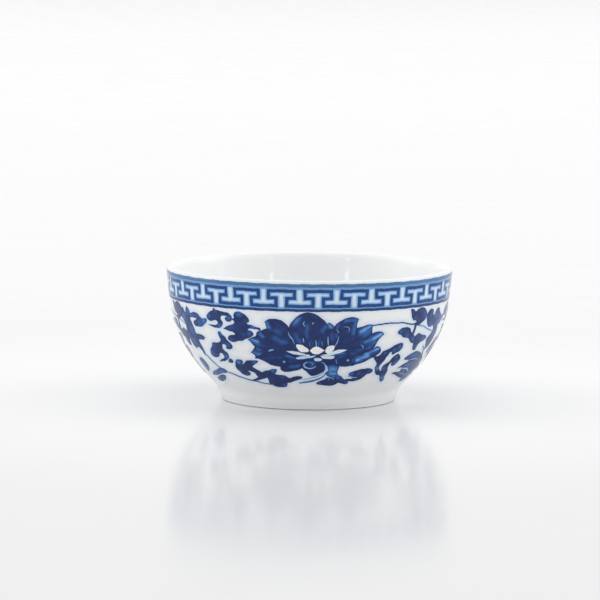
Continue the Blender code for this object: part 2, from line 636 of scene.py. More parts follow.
def place_group(tree, name, builder, **values):
    node = add_node(tree, "ShaderNodeGroup")
    node.node_tree = shared_group(name, builder)
    for socket, value in values.items():
        made = node.inputs[socket]
        if isinstance(value, bpy.types.NodeSocket):
            tree.links.new(value, made)
        elif isinstance(value, (int, float)):
            made.default_value = value
        else:
            made.default_value = (*value, 1.0)
    return node


def attribute(tree, name):
    return add_node(tree, "ShaderNodeAttribute", attribute_name=name).outputs["Fac"]


def new_material(name, display):
    material = bpy.data.materials.new(name)
    material.use_nodes = True
    material.diffuse_color = (*display, 1.0)
    return material, material.node_tree, material.node_tree.nodes["Principled BSDF"]


def add_bump(tree, shader, height, strength, distance):
    bump = add_node(tree, "ShaderNodeBump")
    bump.inputs["Strength"].default_value = strength
    bump.inputs["Distance"].default_value = distance
    tree.links.new(height, bump.inputs["Height"])
    tree.links.new(bump.outputs["Normal"], shader.inputs["Normal"])


def glaze_surface(tree, shader):
    """The clear glaze that covers clay and cobalt alike."""
    ripple = place_group(tree, "glaze_ripple", glaze_ripple_group, Waves=0.7, Peel=0.05)
    add_bump(tree, shader, ripple.outputs["Height"], 0.35, 0.2 * MM)
    roughness = ramp_between(tree, noise(tree, 150.0, 2.0), 0.3, 0.7, 0.045, 0.085)
    tree.links.new(roughness, shader.inputs["Roughness"])
    shader.inputs["IOR"].default_value = 1.48
    shader.inputs["Specular IOR Level"].default_value = 0.38


def white_glaze_material(colours):
    material, tree, shader = new_material("white_glaze", colours.porcelain)
    specks = place_group(tree, "kiln_specks", kiln_speck_group, Amount=0.35)
    cloudy = ramp_between(tree, noise(tree, 60.0, 3.0), 0.35, 0.75, 0.0, 0.10)
    pool = math_node(tree, "ADD", attribute(tree, "pool"), cloudy)
    white = mix_colour(tree, pool, colours.porcelain, colours.pooled_glaze)
    hazed = mix_colour(tree, attribute(tree, "haze"), white, colours.haze)
    speckled = mix_colour(tree, specks.outputs["Mask"], hazed, colours.glaze_speck)
    tree.links.new(speckled, shader.inputs["Base Color"])
    glaze_surface(tree, shader)
    return material


def cobalt_material(name, colours, unevenness, middle):
    material, tree, shader = new_material(name, middle)
    wash = place_group(
        tree,
        "cobalt_wash",
        cobalt_wash_group,
        Ink=attribute(tree, "ink"),
        Unevenness=unevenness,
        White=colours.porcelain,
        Pale=colours.cobalt_pale,
        Middle=middle,
        Dark=colours.cobalt_dark,
    )
    tree.links.new(wash.outputs["Color"], shader.inputs["Base Color"])
    glaze_surface(tree, shader)
    return material


def bare_clay_material(colours):
    material, tree, shader = new_material("bare_clay", colours.bare_clay)
    specks = place_group(tree, "kiln_specks", kiln_speck_group, Amount=0.8)
    scorch = ramp_between(tree, noise(tree, 240.0, 4.0), 0.35, 0.75)
    clay = mix_colour(tree, scorch, colours.bare_clay, colours.scorched_clay)
    speckled = mix_colour(tree, specks.outputs["Mask"], clay, colours.clay_speck)
    roughness = ramp_between(tree, noise(tree, 900.0, 2.0), 0.3, 0.7, 0.7, 0.9)
    tree.links.new(speckled, shader.inputs["Base Color"])
    tree.links.new(roughness, shader.inputs["Roughness"])
    add_bump(tree, shader, noise(tree, 5200.0, 3.0), 0.5, 0.05 * MM)
    return material


# ---------------------------------------------------------------------------------------------
# The body
# ---------------------------------------------------------------------------------------------

# The bare ring that the bowl rests on, and the corners of the foot. The numbers given to a curve
# below are its two handles.
BARE_OUTER = 21.05 * MM
BARE_INNER = 19.75 * MM
GROOVE_INSET = 0.1 * MM
GROOVE_HEIGHT = 0.3 * MM
GLAZE_EDGE_HEIGHT = 0.05 * MM
FOOT_EDGE_HEIGHT = 0.5 * MM
WAIST_FLARE = 0.62 * MM
WAIST_HEIGHT = 1.75 * MM
WALL_POINTS = 110
POINTS_GIVEN_TO_CREASE = 9


def foot_outside(sizes, belly_end):
    """From the belly through the soft crease and down the tapered foot to the bare ring."""
    foot = sizes.foot_radius
    crease = (sizes.crease_radius, sizes.crease_height)
    waist = (foot + WAIST_FLARE, WAIST_HEIGHT)
    edge = (foot, FOOT_EDGE_HEIGHT)
    bare = (BARE_OUTER, GLAZE_EDGE_HEIGHT)
    crease_round = bezier((belly_end, crease, crease, waist), 14)
    side = bezier((waist, (foot + 0.42 * MM, 1.3 * MM), (foot + 0.12 * MM, 0.8 * MM), edge), 6)
    rounding = bezier((edge, (foot, 0.22 * MM), (foot - 0.15 * MM, 0.08 * MM), bare), 7)
    return np.vstack((crease_round[1:], side[1:], rounding[1:]))


def foot_inside(sizes):
    """From the bare ring up the inside of the foot and over the recess to the axis."""
    recess = sizes.recess_height
    bare = (BARE_INNER, GLAZE_EDGE_HEIGHT)
    ring_radius = sizes.foot_radius - 2.05 * MM
    wall_radius = sizes.foot_radius - 2.6 * MM
    flat_radius = sizes.foot_radius - 3.5 * MM
    low = (ring_radius, 0.55 * MM)
    high = (wall_radius, recess - 0.7 * MM)
    flat = (flat_radius, recess)
    middle = (0.0, recess + 0.2 * MM)
    rounding = bezier((bare, (BARE_INNER - 0.15 * MM, 0.07 * MM), (ring_radius, 0.2 * MM), low), 7)
    side = bezier((low, (ring_radius, 1.2 * MM), (wall_radius, 1.4 * MM), high), 6)
    corner = bezier((high, (wall_radius, recess - 0.2 * MM), (flat_radius + 0.5 * MM, recess), flat), 7)
    under = bezier((flat, (12.0 * MM, recess), (6.0 * MM, middle[1]), middle), 16)
    return np.vstack((rounding, side[1:], corner[1:], under[1:]))


def body_section(sizes):
    """The closed section of the glazed body, from the axis inside to the axis below, in metres."""
    wall = outer_wall(sizes, WALL_POINTS)[:-POINTS_GIVEN_TO_CREASE]
    groove = [(BARE_OUTER - GROOVE_INSET, GROOVE_HEIGHT), (BARE_INNER + GROOVE_INSET, GROOVE_HEIGHT)]
    parts = (
        inner_wall(sizes, 60),
        lip_inside(sizes, 9)[1:],
        lip_outside(sizes, 11)[1:],
        wall[1:],
        foot_outside(sizes, wall[-1]),
        groove,
        foot_inside(sizes),
    )
    return np.vstack(parts)


def bare_ring_section():
    """The bare clay ring, from its outer side round the rest to its inner side."""
    corner = ((0.1, 0.28), (0.02, 0.16), (0.05, 0.05), (0.18, 0.0))  # inset and height, in millimetres
    outer = [(BARE_OUTER - inset * MM, height * MM) for inset, height in corner]
    inner = [(BARE_INNER + inset * MM, height * MM) for inset, height in reversed(corner)]
    return outer + inner


def lathe(name, section, steps):
    """Turns a section, which starts and ends on the axis, into a closed body."""
    rings = section[1:-1]
    angle = np.linspace(0, 2 * math.pi, steps, endpoint=False)
    around = np.stack([np.sin(angle), -np.cos(angle)], axis=1)
    verts = [(0.0, 0.0, section[0][1])]
    for radius, height in rings:
        verts += [(x * radius, y * radius, height) for x, y in around]
    verts.append((0.0, 0.0, section[-1][1]))
    last = len(verts) - 1
    faces = []
    for step in range(steps):
        after = (step + 1) % steps
        faces.append((0, 1 + step, 1 + after))
        for ring in range(len(rings) - 1):
            inner = 1 + ring * steps
            outer = inner + steps
            faces.append((inner + step, outer + step, outer + after, inner + after))
        base = 1 + (len(rings) - 1) * steps
        faces.append((base + step, last, base + after))
    return link_mesh(name, hand_turned(np.array(verts)), faces)


def ring_piece(name, section, steps):
    """Turns a closed section that stays off the axis into a ring."""
    angle = np.linspace(0, 2 * math.pi, steps, endpoint=False)
    verts = [
        (radius * math.sin(turn), -radius * math.cos(turn), height)
        for turn in angle
        for radius, height in section
    ]
    count = len(section)
    faces = []
    for step in range(steps):
        here, there = step * count, (step + 1) % steps * count
        for index in range(count):
            after = (index + 1) % count
            faces.append((here + index, there + index, there + after, here + after))
    return link_mesh(name, verts, faces)


def smooth_by_angle(item, degrees):
    item.data.shade_smooth()
    item.data.set_sharp_from_angle(angle=math.radians(degrees))


def glaze_pools(verts, sizes):
    """How thick the glaze has run at each point: it pools in the crease, the floor and the recess."""
    radius = np.hypot(verts[:, 0], verts[:, 1])
    height = verts[:, 2]
    crease = fade(height - sizes.crease_height, 0.7 * MM) * (radius > sizes.foot_radius - 0.5 * MM)
    floor = fade(height - sizes.floor_height, 2.2 * MM) * (radius < 22.0 * MM)
    recess = fade(radius - 18.3 * MM, 0.9 * MM) * (height < sizes.recess_height + 0.3 * MM)
    lip = fade(height - sizes.height, 0.8 * MM)
    return np.clip(0.12 + 0.1 * crease + 0.3 * floor + 0.6 * recess - 0.5 * lip, 0.0, 1.0)


def cobalt_haze(verts, wall, outlines):
    """How much cobalt has bled into the glaze at each point, from how near the painting lies."""
    tree = KDTree(len(outlines))
    for index, spot in enumerate(outlines):
        tree.insert(spot, index)
    tree.balance()
    haze = np.zeros(len(verts))
    wall_radius = np.interp(verts[:, 2], wall.section[::-1, 1], wall.section[::-1, 0])
    outside = np.hypot(verts[:, 0], verts[:, 1]) >= 0.9 * wall_radius
    for index in np.flatnonzero(outside):
        haze[index] = HAZE_STRENGTH * fade(tree.find(verts[index])[2], HAZE_REACH)
    return haze


# ---------------------------------------------------------------------------------------------
# The painting
# ---------------------------------------------------------------------------------------------

# Where the bands lie, in millimetres down the wall
RIM_LINE_AT = -0.44
FRET_TOP = 0.86
FRET_MIDDLE = 2.6
FRET_BOTTOM = 4.5
BASE_LINE_AT = 5.47
FRET_START = 2.0  # the middle of the first repeat, right of the front


def rectangle(left, right, top, bottom, step=0.4):
    """An outline with enough points along its sides to bend with the wall."""
    across = np.linspace(left, right, max(2, math.ceil((right - left) / step)))
    down = np.linspace(top, bottom, max(2, math.ceil((bottom - top) / step)))
    corners = [(x, top) for x in across[:-1]] + [(right, y) for y in down[:-1]]
    corners += [(x, bottom) for x in across[:0:-1]] + [(left, y) for y in down[:0:-1]]
    return np.array(corners)


def band_wash(y, width, ink):
    """One even line round the bowl, as pieces that meet end to end."""
    span = GIRTH / LINE_PIECES
    top, bottom = y - width / 2, y + width / 2
    lengths = [rectangle(index * span, (index + 1) * span, top, bottom) for index in range(LINE_PIECES)]
    return [Wash(length, ink, drawn=True, grain=0.6) for length in lengths]


def fret_outline(width, period):
    """One repeat of the key fret, as the two sides of a line with square corners."""
    shoulder = 0.357 * period
    stem = 0.143 * period
    path = [
        (-period / 2, FRET_BOTTOM),
        (-stem, FRET_BOTTOM),
        (-stem, FRET_MIDDLE),
        (-shoulder, FRET_MIDDLE),
        (-shoulder, FRET_TOP),
        (shoulder, FRET_TOP),
        (shoulder, FRET_MIDDLE),
        (stem, FRET_MIDDLE),
        (stem, FRET_BOTTOM),
        (period / 2, FRET_BOTTOM),
    ]
    half = width / 2
    sides = [], []
    for index, (x, y) in enumerate(path):
        before = path[max(index - 1, 0)]
        after = path[min(index + 1, len(path) - 1)]
        came = np.sign([x - before[0], y - before[1]])
        goes = np.sign([after[0] - x, after[1] - y])
        if index == 0:
            came = goes
        if index == len(path) - 1:
            goes = came
        for side, way in zip(sides, (1, -1)):
            shift = np.array([-came[1], came[0]]) + (
                np.array([-goes[1], goes[0]]) if abs(came @ goes) < 0.5 else 0
            )
            side.append((x + way * half * shift[0], y + way * half * shift[1]))
    corners = sides[0] + sides[1][::-1]
    outline = []
    for start, end in zip(corners, corners[1:] + corners[:1]):
        steps = max(1, round(math.dist(start, end) / 0.3))
        for cut in range(steps):
            x, y = (begin + (finish - begin) * (cut / steps) for begin, finish in zip(start, end))
            outline.append((x, y))
    return outline


def fret_ground(outline, period, there):
    """The glaze behind one repeat of the fret: hazy near its lines and near the two borders."""
    lines = [outline + (way * period, 0.0) for way in (-1, 0, 1)]
    for y, height in ((RIM_LINE_AT + 0.55, 0.2), (FRET_BOTTOM + 0.5, 0.3)):
        lines.append(rectangle(-period, period, y, y + height, 1.0))
    ground = rectangle(-period / 2, period / 2, RIM_LINE_AT + 0.1, BASE_LINE_AT + 0.1, 0.35)
    lines = [line + there for line in lines]
    return Bleed(ground + there, lines, reach=0.3, ink=0.5, base=0.12, grain=0.3)


def petal(outline, ink, *glows):
    """A wash with a paler edge and faint streaks that run out from the heart of the flower."""
    return Wash(outline, ink, glows, edge=0.2, rays=0.05, grain=0.4)


def lotus_petals():
    """The open flower, from its dark ground forward to the curl at its base."""
    return [
        petal(
            [(-12.3, 12), (-9.5, 10), (-5, 9.8), (0, 8), (5, 9.8), (11, 10.5), (14.6, 12.2),
             (16.2, 15.2), (15, 18), (10, 19.8), (4, 20.2), (-2, 20.4), (-8, 20), (-12, 18),
             (-12.8, 15)],
            0.97,
            (6.3, 17.2, 8.6, 16.5, 0.4, 0.66),
            (13.2, 15.8, 11, 16.6, 0.6, 0.84),
        ),
        petal(
            [(-10.2, 8.4, TIP), (-9.3, 7.85), (-8.2, 7.6), (-7, 7.75), (-5.8, 8.3), (-4.8, 9.3),
             (-4.2, 11), (-4.3, 13.5), (-6.5, 14.8), (-9, 14.2), (-9.9, 12), (-9.75, 10)],
            0.96,
            (-9.75, 8.4, -9.2, 9.7, 0.5, 0.54),
            (-7.6, 10.4, -6.6, 10.9, 0.7, 0.82),
            (-7.8, 12.6, -5.6, 13.6, 0.9, 0.78),
        ),
        petal(
            [(11.5, 7.7, TIP), (10.4, 7.2), (9.3, 7.15), (8, 7.6), (6.8, 8.3), (5.8, 9.3), (5.6, 11),
             (6.5, 13.5), (9, 14.2), (11.2, 13), (11.5, 11), (11.1, 9.3)],
            0.96,
            (8.4, 8.0, 11.0, 7.75, 0.45, 0.62),
            (10.9, 8.5, 10.4, 11.2, 0.5, 0.66),
            (6.7, 8.9, 6.3, 9.8, 0.4, 0.74),
        ),
        petal(
            [(11, 10.2), (12.3, 9.55), (13.6, 9.2), (14.7, 9.15), (15, 9.6, TIP), (14.95, 10.5),
             (15.2, 11.6), (15, 13.2), (13, 14.5), (11.5, 13.5)],
            0.93,
            (14.6, 9.5, 12.2, 10.8, 0.65, 0.44),
            (14.4, 10.9, 13.2, 11.8, 0.5, 0.70),
        ),
        petal(
            [(14.4, 12.0), (15.4, 11.35), (16.4, 11), (17.5, 11.1), (18.2, 11.5), (18.5, 11.9, TIP),
             (17.8, 12.5), (17.2, 13.3), (16.8, 14.3), (16, 15.6), (14, 16), (13, 14)],
            0.92,
            (17.8, 11.6, 15.6, 12.7, 0.62, 0.38),
            (15.2, 12.9, 13.6, 13.6, 0.6, 0.66),
            (16.6, 13.6, 15.0, 15.0, 0.45, 0.70),
        ),
        petal(
            [(13.5, 16.4), (15, 16.2), (16.2, 15.5), (17.2, 14.95), (18.1, 15.3), (18.6, 16, TIP),
             (18.5, 16.7), (17.9, 17.4), (17, 18), (15.8, 18.6), (14.6, 19.4), (12.8, 19.9), (11, 20.2),
             (10.6, 17.8)],
            0.92,
            (17.7, 15.6, 14.6, 16.9, 0.5, 0.46),
            (15.2, 17.6, 12.3, 18.6, 0.75, 0.46),
        ),
        petal(
            [(6.6, 17.4), (8.2, 16.9), (10.2, 17), (11.6, 17.7), (12.2, 18.8), (11.6, 20), (10, 20.5),
             (8.6, 20.5), (7.4, 20), (6.7, 18.8)],
            0.97,
            (7.4, 17.4, 9.0, 17.1, 0.4, 0.78),
            (11.6, 18.0, 11.8, 19.0, 0.4, 0.72),
        ),
        petal(
            [(-10.5, 11.2), (-11.3, 10.7), (-12.2, 11.2), (-12.6, 12.2), (-13.8, 12.7),
             (-14.9, 13.2, TIP), (-14.2, 13.9), (-13.6, 14.6), (-13.1, 15.3), (-11.5, 15.8),
             (-9.8, 14.5)],
            0.93,
            (-14.4, 13.1, -12.4, 13.7, 0.55, 0.48),
            (-11.6, 11.1, -10.9, 12.2, 0.5, 0.64),
        ),
        petal(
            [(-13, 15.1), (-13.9, 15.9), (-14.7, 16.8, TIP), (-14.1, 17.2), (-13.7, 17.7),
             (-13.9, 18.4, TIP), (-12.8, 18.6), (-11.2, 19), (-9.8, 18.2), (-9.8, 16)],
            0.94,
            (-14.2, 16.6, -12.2, 17.2, 0.6, 0.50),
            (-12.9, 15.4, -12.0, 15.9, 0.4, 0.68),
        ),
        petal(
            [(-12.9, 18.3), (-11.2, 19.3), (-9.8, 20.2), (-8.2, 20.6), (-6.5, 20.6), (-3.5, 20),
             (-2.5, 18.8), (-4, 17.2), (-7, 16.4), (-10, 16.6), (-12.2, 17.2)],
            0.97,
            (-5.4, 17.0, -3.2, 17.8, 0.5, 0.64),
            (-9.6, 17.4, -7.6, 17.8, 0.6, 0.86),
        ),
        petal(
            [(-7.4, 20.5), (-7.5, 21.4), (-7, 22), (-6, 22.25), (-4.8, 22.1), (-3.4, 21.7),
             (-2.2, 21.2), (-1.5, 20.5), (-1.6, 19.4), (-3.5, 19.3), (-5.8, 19.6)],
            0.99,
            (-4.8, 20.6, -2.6, 20.2, 0.5, 0.74),
        ),
        petal(
            [(5, 20.1), (8, 20.3), (8, 21.2), (7.8, 22.2), (8.2, 23.4), (7, 24.2), (5.6, 23.6),
             (4.8, 22.8), (5.1, 21.6)],
            0.68,
            (5.6, 21.3, 7.4, 21.2, 0.7, 0.54),
            (6.0, 22.7, 7.4, 22.7, 0.35, 0.42),
        ),
        petal(
            [(-3.4, 14.2), (-4.3, 12.6), (-4.7, 11), (-4.6, 9.6), (-4.1, 8.5), (-3.2, 7.4), (-2.1, 6.5),
             (-0.9, 6), (0.3, 5.95), (1.5, 6.35), (2.6, 7.1), (3.5, 8), (4.3, 9), (4.5, 10.5),
             (4.4, 12.5), (3.8, 14.6), (0.5, 15)],
            0.95,
            (-2.3, 7.4, -3.4, 8.7, 0.7, 0.56),
            (-0.5, 9.2, -0.4, 12.0, 0.4, 0.74),
            (4.0, 9.2, 3.1, 10.4, 0.5, 0.68),
            (-3.1, 11.4, -2.0, 13.3, 0.5, 0.76),
            (0.6, 6.6, 1.6, 7.0, 0.4, 0.82),
            (2.4, 13.0, 2.3, 14.2, 0.35, 0.80),
        ),
        petal(
            [(4.0, 8.9), (4.6, 8.4), (5.3, 8.8), (5.7, 9.6), (5.3, 10.2), (4.5, 10.1)],
            0.72,
            (4.6, 8.8, 5.2, 9.7, 0.25, 0.5),
        ),
        petal(
            [(4.4, 10.2), (5.5, 10), (6.5, 10.6), (6.9, 12), (6.6, 14), (5.5, 14.6), (4.5, 14.2),
             (4.2, 12)],
            0.94,
            (5.4, 11.2, 5.4, 12.8, 0.4, 0.80),
            (6.4, 11.2, 6.5, 12.0, 0.3, 0.68),
        ),
        petal(
            [(-1.9, 19), (-0.8, 18.3), (0.8, 18.4), (2.5, 18.7), (3.9, 19.3), (4.6, 20.4), (4.3, 21.6),
             (3.4, 22.5), (2.3, 23.1), (1.1, 23.4), (0.1, 22.9), (-0.5, 22), (-1.5, 21.2), (-2, 20.2)],
            0.99,
            (-0.2, 19.0, 1.2, 19.2, 0.6, 0.70),
        ),
    ]


def lotus_lights():
    """Fine pale lines and dots that part the petals."""
    return [
        stroke([(-4.75, 10.9), (-4.3, 12), (-3.7, 13), (-3.3, 13.9)], (0.1, 0.3, 0.1), 0.42),
        stroke([(-0.9, 8.1), (-1.25, 8.6), (-1, 9.3)], (0.1, 0.26, 0.1), 0.45),
        stroke([(-1.3, 12.2), (-1.15, 13.5)], (0.1, 0.22, 0.1), 0.42),
        stroke([(1.6, 12.8), (1.75, 14.3)], (0.1, 0.22, 0.14), 0.4),
        stroke([(2.9, 12.9), (3.3, 14.4)], (0.08, 0.18, 0.1), 0.56),
        stroke([(4.45, 11.9), (4.6, 14.2)], (0.08, 0.24, 0.14), 0.38),
        stroke([(6.9, 11.8), (6.75, 13.2), (6.3, 14.5)], (0.1, 0.24, 0.12), 0.42),
        stroke([(0.2, 13.1), (0.3, 14.5)], (0.08, 0.16, 0.1), 0.6),
        stroke([(7.9, 9.45), (8.8, 9.5), (9.35, 10.1), (9.2, 10.9)], (0.1, 0.26, 0.1), 0.52),
        stroke([(6.4, 10.1), (6.9, 11)], (0.1, 0.24, 0.1), 0.45),
        stroke([(12.6, 14.3), (13.3, 14.7), (13.3, 15.4)], (0.1, 0.28, 0.1), 0.48),
        stroke([(-9.9, 16.1), (-9.2, 15.75), (-8.5, 15.6)], (0.15, 0.42, 0.2), 0.36),
        stroke([(6.9, 18.1), (7, 18.9), (7.4, 19.5)], (0.1, 0.24, 0.1), 0.5),
        stroke(
            [(-0.4, 18.9), (-1.15, 19.6), (-1, 20.4), (0, 20.95), (1.1, 20.8), (1.9, 20.2)],
            (0.15, 0.38, 0.34, 0.15),
            0.38,
        ),
        stroke([(0.0, 19.3), (0.8, 19.25), (1.1, 19.9), (0.4, 20.2)], (0.1, 0.2, 0.1), 0.55),
        stroke([(3.2, 18.9), (4.1, 19.5), (4.5, 20.5), (4.45, 21.6)], (0.1, 0.28, 0.3), 0.4),
        dot(0.95, 8.5, 0.28, 0.48),
        dot(-6.3, 19.0, 0.32, 0.45),
        dot(10.0, 18.6, 0.34, 0.45),
    ]


def lotus_heart():
    """The small white lotus left bare in the middle of the flower."""
    return [
        Wash([(-5.4, 15.9, TIP), (-4, 15.8), (-2.4, 16.1), (-0.8, 16.7), (0.3, 17), (-1, 17.05),
              (-2.6, 16.9), (-4.2, 16.5)], 0.15),
        Wash([(9.3, 15.5, TIP), (7.8, 15.4), (6.6, 15.6), (5.6, 16), (4.3, 16.6), (3.4, 16.95),
              (5, 17.05), (6.8, 16.6), (8.3, 16.1)], 0.13),
        Wash([(-3.1, 17.8), (-1.8, 17.3), (0, 17.15), (1.8, 17.05, TIP), (1.2, 17.5), (-0.4, 17.8),
              (-1.8, 18.1), (-2.9, 18.15)], 0.2),
        Wash([(2.8, 17.05, TIP), (4.2, 17.2), (5.6, 17.15), (6.4, 17.5), (6, 18), (4.8, 18),
              (3.6, 17.8)], 0.14),
        Wash([(1.3, 18), (2.3, 17.75), (3.4, 18.1), (3, 18.5), (2.2, 18.7), (1.5, 18.5)], 0.18),
        Wash([(-2.9, 14.1), (-1.8, 14.1), (-0.9, 14.6), (-0.2, 15.2), (-0.1, 15.8), (-1, 16.1),
              (-1.8, 16), (-2.5, 15.4)], 0.05),
        Wash([(4, 15.3), (4.6, 14.5), (5.5, 14.2), (6.2, 14.4), (6.1, 15.2), (5.6, 15.9), (4.7, 16.35),
              (4.05, 16.0)], 0.06),
        Wash([(0.2, 15.6, TIP), (0.9, 14.9), (1.9, 14.45), (2.8, 14.9), (3.75, 15.6, TIP), (2.9, 16.3),
              (2, 16.7), (0.9, 16.3)], 0.03),
    ]


def near_leaves():
    """Leaves of the scroll that touch the flower's left side and its base."""
    return [
        Wash(
            [(-26, 8.3), (-25.4, 7.4), (-24.6, 6.9), (-23.8, 6.6), (-23.5, 6.0), (-22.8, 6.4),
             (-21.7, 6.6), (-20.6, 6.7), (-19.4, 6.9), (-18.6, 7.5), (-18.3, 8.3), (-18.8, 9),
             (-19.6, 9.1), (-20.3, 8.7), (-20.3, 8.1), (-19.9, 7.9), (-20.6, 7.6), (-21.3, 7.8),
             (-21.6, 8.5), (-21.2, 9.3), (-21.4, 10.2), (-22.2, 10.8), (-23.5, 10.9), (-24.6, 10.75),
             (-25.9, 10.3, TIP), (-24.6, 10.3), (-23.4, 10.2), (-22.7, 9.8), (-22.7, 9.2), (-23.3, 9),
             (-24.2, 9.3), (-25.2, 9.3)],
            0.93,
            [(-25.3, 8, 0.6, 0.7), (-19.3, 8.2, 0.6, 0.58), (-21.9, 10.3, 0.6, 0.56),
             (-22.9, 6.5, 0.4, 0.6)],
        ),
        Wash(
            [(-17.9, 7.4), (-17.4, 6.6), (-16.5, 6.3), (-15.6, 6.6), (-14.7, 7.2), (-14.1, 7.9),
             (-14, 8.7), (-14.6, 9.2), (-13.4, 9.4), (-12.3, 9.9), (-11.2, 10.5), (-12.4, 10.5),
             (-13.7, 10.35), (-14.4, 10.6), (-13.6, 11), (-13.2, 11.6), (-13.5, 12.3), (-14.4, 12.8),
             (-15.5, 13.2), (-16.3, 13.7), (-17.6, 13.9), (-18.7, 14.3), (-19.7, 14.1), (-20.4, 13.5),
             (-20.1, 12.8), (-19.2, 12.4), (-18, 12.1), (-18.5, 11.6), (-19.5, 11.4), (-20.4, 11.2),
             (-21.2, 10.9, TIP), (-20.2, 10.4), (-19.2, 9.9), (-18.1, 9.4), (-17.9, 8.8), (-18.4, 8.3),
             (-17.8, 8.0)],
            0.96,
            [(-16.5, 7, 0.7, 0.66), (-14.7, 8.4, 0.5, 0.8), (-13, 9.8, 0.8, 0.6),
             (-14.2, 11.5, 0.6, 0.74), (-19.4, 10.5, 0.8, 0.74), (-19.4, 13.3, 0.7, 0.78)],
        ),
        Wash(
            [(-21, 22), (-20.7, 20.8), (-20.3, 19.8), (-19.6, 19.3), (-18.6, 19.15), (-17.9, 19.5),
             (-18.1, 20.2), (-18.3, 20.6, TIP), (-17.6, 20.2), (-17, 19.6), (-16, 19.25), (-15, 19.15),
             (-13.9, 19.05), (-13.3, 19.25, TIP), (-13.8, 19.9), (-14.7, 20.4), (-15.4, 21.1),
             (-14.7, 21.8), (-13.7, 22.4), (-12.9, 23.2), (-13.5, 24.3), (-14.9, 24.4), (-15.3, 23.4),
             (-16.2, 22.8), (-17.3, 22.7), (-16.9, 23.3), (-17.2, 23.9), (-18, 24.3), (-19, 24.3),
             (-19.9, 23.8), (-20.5, 23)],
            0.96,
            [(-19.3, 20, 0.8, 0.6), (-14.3, 19.7, 0.6, 0.58), (-18.2, 23.8, 0.5, 0.76),
             (-20.3, 22.6, 0.5, 0.76)],
        ),
        Wash(
            [(-16.6, 25.6, TIP), (-15.6, 25.1), (-14.8, 24.3), (-14, 23.4), (-13.2, 22.8), (-12, 22.2),
             (-10.8, 21.9), (-9.6, 21.5), (-8.7, 21.6), (-8.8, 22.3), (-9.3, 23), (-10.3, 23.6),
             (-11.6, 24.3), (-13, 24.9), (-14.5, 25.4), (-15.6, 25.8)],
            0.96,
            [(-9.8, 21.95, 0.8, 0.58)],
        ),
        Wash(
            [(-12, 24.6), (-11, 23.7), (-9.6, 23.2), (-8.2, 23.3), (-6.8, 23.45), (-5.9, 24),
             (-5.3, 24.35), (-4.5, 23.9), (-3.5, 23.6), (-2.4, 23.6), (-1.7, 23.95), (-2, 24.5),
             (-3, 24.9), (-4, 25.3), (-5.2, 25.8), (-6.3, 26.2), (-6.4, 26.9), (-6.7, 27.4),
             (-7.7, 27.7), (-9, 27.7), (-10.2, 27.5), (-11.4, 26.9), (-11.9, 26.2), (-11.9, 25.4)],
            0.97,
            [(-7.2, 24.3, 0.5, 0.74), (-7.2, 27.3, 0.6, 0.62), (-10.8, 27, 0.6, 0.72)],
        ),
        Wash(
            [(2.3, 25.9, TIP), (3, 25.3), (3.9, 24.9), (4.7, 24.4), (5.8, 24.1), (6.9, 24.4),
             (7.4, 24.2), (7.9, 23.2), (9, 23.5), (9.7, 24.2), (10.3, 24.75), (11.2, 25), (11.9, 25.5),
             (11.8, 26.3), (10.8, 26.5), (9.7, 26.2), (8.7, 25.95), (8.2, 26.4), (7.3, 26.8),
             (6.1, 26.95), (4.9, 26.8), (3.7, 26.55), (2.7, 26.4)],
            0.97,
            [(8.4, 23.9, 0.7, 0.68), (3.3, 25.9, 0.5, 0.76), (11.3, 25.8, 0.6, 0.72)],
        ),
        Wash(
            [(11.3, 22.8), (12.2, 22.3), (13.2, 22), (14.2, 21.6), (15.5, 21.5), (17, 21.5),
             (18.1, 21.9), (18.4, 22.5), (17.9, 23.1), (16.9, 23.4), (16.4, 24.1), (15.7, 24.8),
             (14.5, 25.4), (13, 25.6), (11.6, 25.3), (10.6, 24.9), (11.8, 24.7), (12.8, 24.4),
             (12.3, 23.9), (11.5, 23.5)],
            0.96,
            [(12.1, 23, 0.6, 0.62), (17.4, 22.2, 0.7, 0.74), (14.2, 22.6, 0.5, 0.78)],
        ),
        stroke([(11.2, 23.7), (12.3, 24.05), (13.4, 24.25), (14.3, 24.25)], (0.25, 0.35, 0.1), 0.4),
        stroke([(4.4, 24.7), (5.2, 23.95), (6.2, 23.85), (7, 24.3),
                (7.2, 24.9)], (0.12, 0.32, 0.3, 0.12), 0.42),
        stroke([(5.9, 24.3), (5.8, 24.9)], (0.1, 0.3, 0.1), 0.5),
        stroke(
            [(-2.7, 26), (-1.2, 25.65), (0.6, 25.3), (2.2, 24.8), (3.5, 24.1), (4.4, 23.2),
             (4.8, 22.2)],
            (0.3, 0.55, 0.4, 0.3),
            0.78,
        ),
        stroke([(-2.2, 24.9), (-0.8, 24.6), (0.6, 24.2), (2.2, 23.75), (3.3, 23.1), (4.1, 22.2)],
               (0.1, 0.3, 0.4, 0.3), 0.34),
    ]


def near_vines():
    """The vine below the flower's left side."""
    return [
        stroke(
            [(-24.8, 24.0), (-23, 24.5), (-21, 25.15), (-19, 25.7), (-17.2, 25.95), (-15.6, 26.2),
             (-13.6, 26.65), (-11.8, 26.8), (-10.6, 26.9)],
            (0.36, 0.44, 0.42, 0.46, 0.34, 0.5),
            0.8,
        ),
        stroke([(-17.4, 25.9), (-16.2, 25.6), (-15.2, 25.0)], (0.5, 0.6, 0.5), 0.86),
    ]


